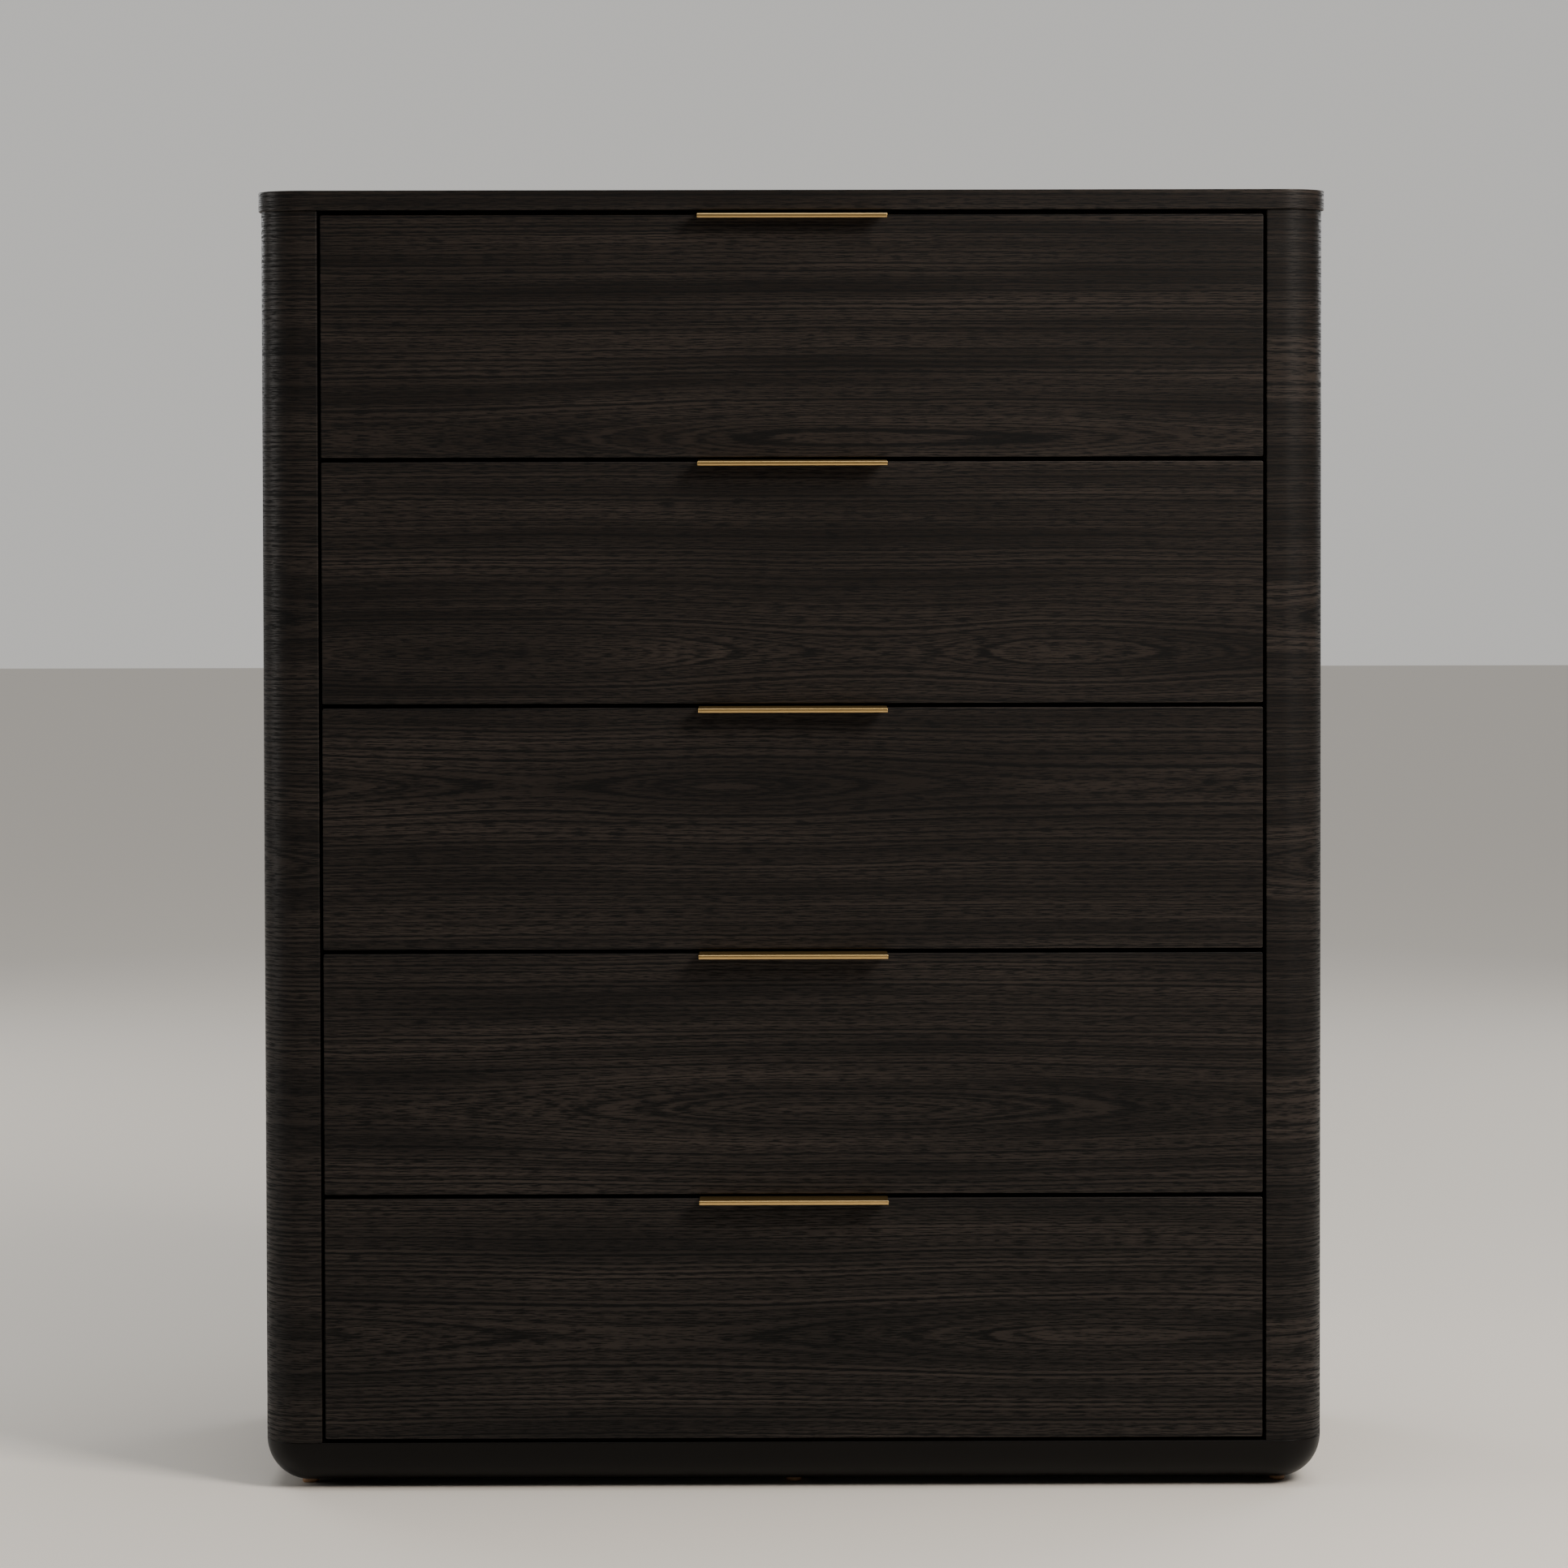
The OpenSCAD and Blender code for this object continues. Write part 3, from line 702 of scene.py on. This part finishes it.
# %% [markdown]
# ## The feet
#
# Five turned beech studs keep the paint off the floor. A turned piece is its profile spun round
# an axis, which is what a lathe does and what a Screw modifier would do. Here the profile's
# radius and height are multiplied out over the angles at once.

# %% Beech
FLECK_LENGTH, FLECK_WIDTH = 9 * mm, 1.2 * mm


def beech():
    """Plain oiled beech: pale, close-grained, with short brown flecks along the grain."""
    material, tree, shader = new_material("beech")
    place = node(tree, "TexCoord").outputs["Object"]
    upright = (1 / FLECK_WIDTH, 1 / FLECK_WIDTH, 1 / FLECK_LENGTH)
    fleck_place = node(tree, "Mapping", {"Vector": place, "Scale": upright})
    fleck = node(tree, "TexNoise", {"Vector": fleck_place, "Scale": 1.0, "Detail": 3.0})
    marks = node(tree, "MapRange", {"Value": fleck, "From Min": 0.5, "From Max": 0.68})
    base = node(tree, "Mix", {"Factor": marks, "A": colour("#9c7650"), "B": colour("#7d5a38")},
                data_type="RGBA")
    fill(tree, shader, {"Base Color": base.outputs["Result"], "Roughness": 0.5})
    return material


foot_wood = beech()
print("made", foot_wood.name)

# %% Feet
FOOT_TOP, FOOT_TIP, FOOT_EASE = 9 * mm, 7.5 * mm, 0.8 * mm
FOOT_TURN = np.linspace(0, 2 * np.pi, 41)


def turned_foot(x, y, low, high):
    """A stud turned on a lathe: the radius r grows evenly from FOOT_TIP at the floor to FOOT_TOP
    at the top, with the floor edge rounded by FOOT_EASE. Each point is (x + r cos a, y + r sin a,
    z)."""
    bend = np.radians(np.linspace(0, 90, 6))
    radius = np.concatenate([[0.0], FOOT_TIP - FOOT_EASE * (1 - np.sin(bend)), [FOOT_TOP, 0.0]])
    height = np.concatenate([[low], low + FOOT_EASE * (1 - np.cos(bend)), [high, high]])
    radius, height = radius[:, None], height[:, None]
    grid = np.stack([x + radius * np.cos(FOOT_TURN), y + radius * np.sin(FOOT_TURN),
                     np.broadcast_to(height, (len(height), len(FOOT_TURN)))], -1)
    return grid, height, FOOT_TURN * FOOT_TOP


x0, x1, y0, y1, z0, z1 = span("feet")
centres = [(x0 + FOOT_TOP, y0 + FOOT_TOP), (0.0, y0 + FOOT_TOP), (x1 - FOOT_TOP, y0 + FOOT_TOP),
           (x0 + FOOT_TOP, y1 - FOOT_TOP), (x1 - FOOT_TOP, y1 - FOOT_TOP)]
feet = surface("beech_feet", [turned_foot(x, y, z0, z1) for x, y in centres])
dress(feet, foot_wood, "carcass", "foot_wood", "feet")

# %% [markdown]
# ## The pulls
#
# Each pull is a strip of brass sheet bent over the upper edge of the drawer front, with a rounded
# lip in front to hook a finger behind. It has been brushed lengthwise, which leaves fine lines
# along it, and lacquered. A Solidify modifier could thicken a bent plane, but the lip's section
# is drawn more exactly as an outline seen from the side and carried across, and so is the strip's.

# %% Brushed brass
BRUSH_LENGTH, BRUSH_WIDTH = 30 * mm, 0.25 * mm


def brushed_brass():
    """Brass brushed along its length and lacquered: a warm metal whose fine lengthwise scratches
    spread its highlights upwards and downwards."""
    material, tree, shader = new_material("brushed_brass")
    place = node(tree, "TexCoord").outputs["Object"]
    lengthwise = (1 / BRUSH_LENGTH, 1 / BRUSH_WIDTH, 1 / BRUSH_WIDTH)
    lines = node(tree, "Mapping", {"Vector": place, "Scale": lengthwise})
    scratch = node(tree, "TexNoise", {"Vector": lines, "Scale": 1.0, "Detail": 3.0})
    base = node(tree, "Mix", {"Factor": scratch, "A": colour("#b8955a"), "B": colour("#d2b47c")},
                data_type="RGBA")
    gloss = node(tree, "MapRange", {"Value": scratch, "To Min": 0.26, "To Max": 0.40})
    relief = node(tree, "Bump", {"Strength": 0.15, "Distance": 0.02 * mm, "Height": scratch})
    fill(tree, shader, {"Base Color": base.outputs["Result"], "Roughness": gloss,
                        "Normal": relief, "Metallic": 1.0})
    return material


brass = brushed_brass()
print("made", brass.name)

# %% Pulls
SHEET, SHEET_FALL, SHEET_SHORT = 1.5 * mm, 1.3 * mm, 0.4 * mm
LIP_DEPTH, LIP_HEIGHT, LIP_ROUNDING, LIP_RISE = 3.2 * mm, 4.2 * mm, 1.4 * mm, 0.3 * mm
SHEET_EDGE, LIP_EDGE = 0.12 * mm, 0.35 * mm
TIP_EDGE, CUT_EDGE = 0.2 * mm, 0.3 * mm
SLOPE_BEND, INNER_BEND, OUTER_BEND = 2 * mm, 0.2 * mm, 1.2 * mm
STRIP_RADII = [TIP_EDGE, SLOPE_BEND, INNER_BEND, CUT_EDGE, CUT_EDGE, OUTER_BEND, SLOPE_BEND, TIP_EDGE]


def pull_lines(points, run, outward):
    """Along is the width of the pull, and across is the way round it."""
    return points[..., 0], points[..., 2] if run is None else run


for number in range(1, DRAWERS + 1):
    x0, x1, y0, y1, z0, z1 = span(f"drawer{number}_pull")
    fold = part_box(f"drawer{number}_front")[1].z
    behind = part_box(f"drawer{number}_front")[1].y
    tip = y0 + LIP_DEPTH / 2
    strip = [(tip, fold - SHEET_FALL), (FRONT_Y, fold), (behind, fold), (behind, z0), (y1, z0),
             (y1, fold + SHEET), (FRONT_Y, fold + SHEET), (tip, fold + SHEET - SHEET_FALL)]
    inside_bend = ((behind + y1) / 2, fold + 0.9 * SHEET)
    strip_patches = board(outline(strip, STRIP_RADII), x0 + SHEET_SHORT, x1 - SHEET_SHORT, SHEET_EDGE,
                          (1, 2, 0), pull_lines, centre=inside_bend)
    lip_top = fold + SHEET - SHEET_FALL + LIP_RISE
    lip = outline(rectangle(y0, y0 + LIP_DEPTH, lip_top - LIP_HEIGHT, lip_top), [LIP_ROUNDING] * 4)
    lip_patches = board(lip, x0, x1, LIP_EDGE, (1, 2, 0), pull_lines)
    pull = surface(f"brass_pull_{number}", strip_patches + lip_patches)
    dress(pull, brass, f"drawer{number}", "pull_brass", f"drawer{number}_pull")

# %% [markdown]
# ## The parts inside
#
# The drawer boxes, the rails and the slides keep their CAD shapes, because flat boards and bent
# channels are already right. They only get their materials. The boxes are chipboard faced with
# pale melamine that has a wood grain printed on it, and the case inside is the same board in
# black-brown. The slides are steel coloured nearly black as painted shade, so that the narrow gaps
# beside the fronts stay dark like shaded gaps and don't glint. One material of each kind could
# serve every board, but a printed grain runs the long way of its board, so it is made once for
# each direction.

# %% Faced board, plated steel, and steel painted dark as shade
def faced_board(name, light, dark, scale, rough):
    """Melamine-faced board: a printed grain stretched along one axis under a hard, even surface.
    scale is the size of the printed marks along x, y and z."""
    material, tree, shader = new_material(name)
    place = node(tree, "TexCoord").outputs["Object"]
    long_marks = node(tree, "Mapping", {"Vector": place, "Scale": tuple(1 / s for s in scale)})
    print_noise = node(tree, "TexNoise", {"Vector": long_marks, "Scale": 1.0, "Detail": 4.0,
                                          "Roughness": 0.6})
    marks = node(tree, "MapRange", {"Value": print_noise, "From Min": 0.38, "From Max": 0.66})
    base = node(tree, "Mix", {"Factor": marks, "A": colour(light), "B": colour(dark)},
                data_type="RGBA")
    texture = node(tree, "TexNoise", {"Vector": place, "Scale": 1 / (0.8 * mm), "Detail": 1.0})
    relief = node(tree, "Bump", {"Strength": 0.1, "Distance": 0.05 * mm, "Height": texture})
    fill(tree, shader, {"Base Color": base.outputs["Result"], "Roughness": rough, "Normal": relief})
    return material


def plated_and_shade_dark_steel(name, light, dark, rough, mark):
    """Steel with a cloudy spangle, in two given colours: bright zinc plating for the screws, and for
    the slides a near-black that is painted shade, so the narrow gaps beside the fronts read as
    shaded. Faint rolling lines show where mark is long in one direction."""
    material, tree, shader = new_material(name)
    place = node(tree, "TexCoord").outputs["Object"]
    lines = node(tree, "Mapping", {"Vector": place, "Scale": tuple(1 / s for s in mark)})
    cloud = node(tree, "TexNoise", {"Vector": lines, "Scale": 1.0, "Detail": 3.0})
    base = node(tree, "Mix", {"Factor": cloud, "A": colour(light), "B": colour(dark)},
                data_type="RGBA")
    gloss = node(tree, "MapRange", {"Value": cloud, "To Min": rough - 0.06, "To Max": rough + 0.08})
    fill(tree, shader, {"Base Color": base.outputs["Result"], "Roughness": gloss, "Metallic": 1.0})
    return material


# %% Materials for the inside
SHORT, LONG = 1.6 * mm, 90 * mm
grain_along_y = faced_board("pale_melamine_sides", "#d9c6a8", "#c6ae8b", (SHORT, LONG, SHORT), 0.45)
grain_along_x = faced_board("pale_melamine_backs", "#d9c6a8", "#c6ae8b", (LONG, SHORT, SHORT), 0.45)
dark_board = faced_board("black_brown_melamine", "#2e2824", "#221d1a", (SHORT, LONG, SHORT), 0.5)
dark_hardboard = faced_board("black_brown_hardboard", "#2b2522", "#221d1b", (LONG, LONG, LONG), 0.6)
# The slides' near-black colours are painted shade: they keep the narrow gaps beside the fronts as dark
# as shaded gaps.
steel = plated_and_shade_dark_steel("steel_painted_gap_shade", "#2b2c2f", "#1c1d1f", 0.42, (4 * mm, 60 * mm, 4 * mm))
screw_steel = plated_and_shade_dark_steel("zinc_plated_screws", "#c8c8c2", "#a8a8a0", 0.32, (3 * mm, 3 * mm, 3 * mm))

KEPT = {
    "bottom_panel": dark_board, "cross_rails": dark_board, "runner_battens": dark_board,
    "back_panel": dark_hardboard, "slide_outers": steel, "case_fasteners": screw_steel,
}
DRAWER_KEPT = {
    "side_left": grain_along_y, "side_right": grain_along_y, "back": grain_along_x,
    "bottom": grain_along_x, "slide_inners": steel, "slide_middles": steel,
    "fasteners": screw_steel,
}
for number in range(1, DRAWERS + 1):
    KEPT |= {f"drawer{number}_{part}": finish for part, finish in DRAWER_KEPT.items()}
for name, finish in KEPT.items():
    frame["nodes"][name].material_slots[0].material = finish
print("materials given to", len(KEPT), "CAD nodes")

# %% [markdown]
# ## The studio
#
# A pale floor, and large soft lights. A very soft sun straight overhead does for a ceiling of
# lamps: it lights the floor evenly to the horizon and hardly touches the dark front. The main
# light stands in front and to the right, so the right post catches a long highlight. A light on
# the left does the same for the other post, and two more behind light the chest for views from
# the back. The world is pale where the camera sees it, and lights the scene only weakly. A
# room's light could be wrapped round the scene instead, but lamps can be placed one by one.

# %% Lamps
def softbox(name, place, aim, size, power, tint):
    """A rectangular lamp at place, facing aim. Light leaves a lamp along its own -Z, so +Z is
    turned to point from aim to place."""
    lamp = bpy.data.lights.new(name, "AREA")
    lamp.shape = "RECTANGLE"
    lamp.size, lamp.size_y = size
    lamp.energy = power
    lamp.color = colour(tint)[:3]
    light = bpy.data.objects.new(name, lamp)
    back = np.array(place, float) - np.array(aim, float)
    back /= np.linalg.norm(back)
    right = np.cross([0, 0, 1], back)
    right /= np.linalg.norm(right)
    turn = np.eye(4)
    turn[:3, :3] = np.stack([right, np.cross(back, right), back], axis=1)
    turn[:3, 3] = place
    light.matrix_world = Matrix(turn)
    bpy.context.scene.collection.objects.link(light)
    print(f"{name}: {power} W, {size[0]} by {size[1]} m")


chest_middle = (0.0, 0.0, 0.6)
softbox("key_light", (1.8, -1.8, 2.4), (0.2, -0.1, 0.9), (0.9, 1.3), 122, "#fff8f0")
softbox("side_light", (-3.6, -0.2, 1.4), chest_middle, (1.3, 1.9), 34, "#fffcf8")
softbox("back_light_left", (-2.6, 3.2, 2.0), chest_middle, (1.6, 1.8), 40, "#ffffff")
softbox("back_light_right", (2.6, 3.2, 2.0), chest_middle, (1.6, 1.8), 40, "#ffffff")

ceiling = bpy.data.lights.new("ceiling_light", "SUN")
ceiling.energy = 1.8
ceiling.angle = np.radians(50)
bpy.context.scene.collection.objects.link(bpy.data.objects.new("ceiling_light", ceiling))

# %% World and floor
WORLD_LIGHT, WORLD_SEEN = 0.05, 0.72
FLOOR_HALF = 20.0

world = bpy.data.worlds.new("studio")
world.use_nodes = True
sky = world.node_tree
seen = node(sky, "LightPath").outputs["Is Camera Ray"]
strength = node(sky, "MapRange", {"Value": seen, "To Min": WORLD_LIGHT, "To Max": WORLD_SEEN})
fill(sky, sky.nodes["Background"], {"Strength": strength, "Color": colour("#eceae6")})
bpy.context.scene.world = world

floor_corners = np.array([[(-1, -1, 0), (1, -1, 0)], [(-1, 1, 0), (1, 1, 0)]]) * FLOOR_HALF
floor = surface("floor", [(floor_corners, 0.0, 0.0)])
floor_finish, floor_tree, floor_shader = new_material("pale_floor")
fill(floor_tree, floor_shader, {"Base Color": colour("#d8d2c9"), "Roughness": 0.6})
floor.data.materials.append(floor_finish)
print("floor:", 2 * FLOOR_HALF, "m square")
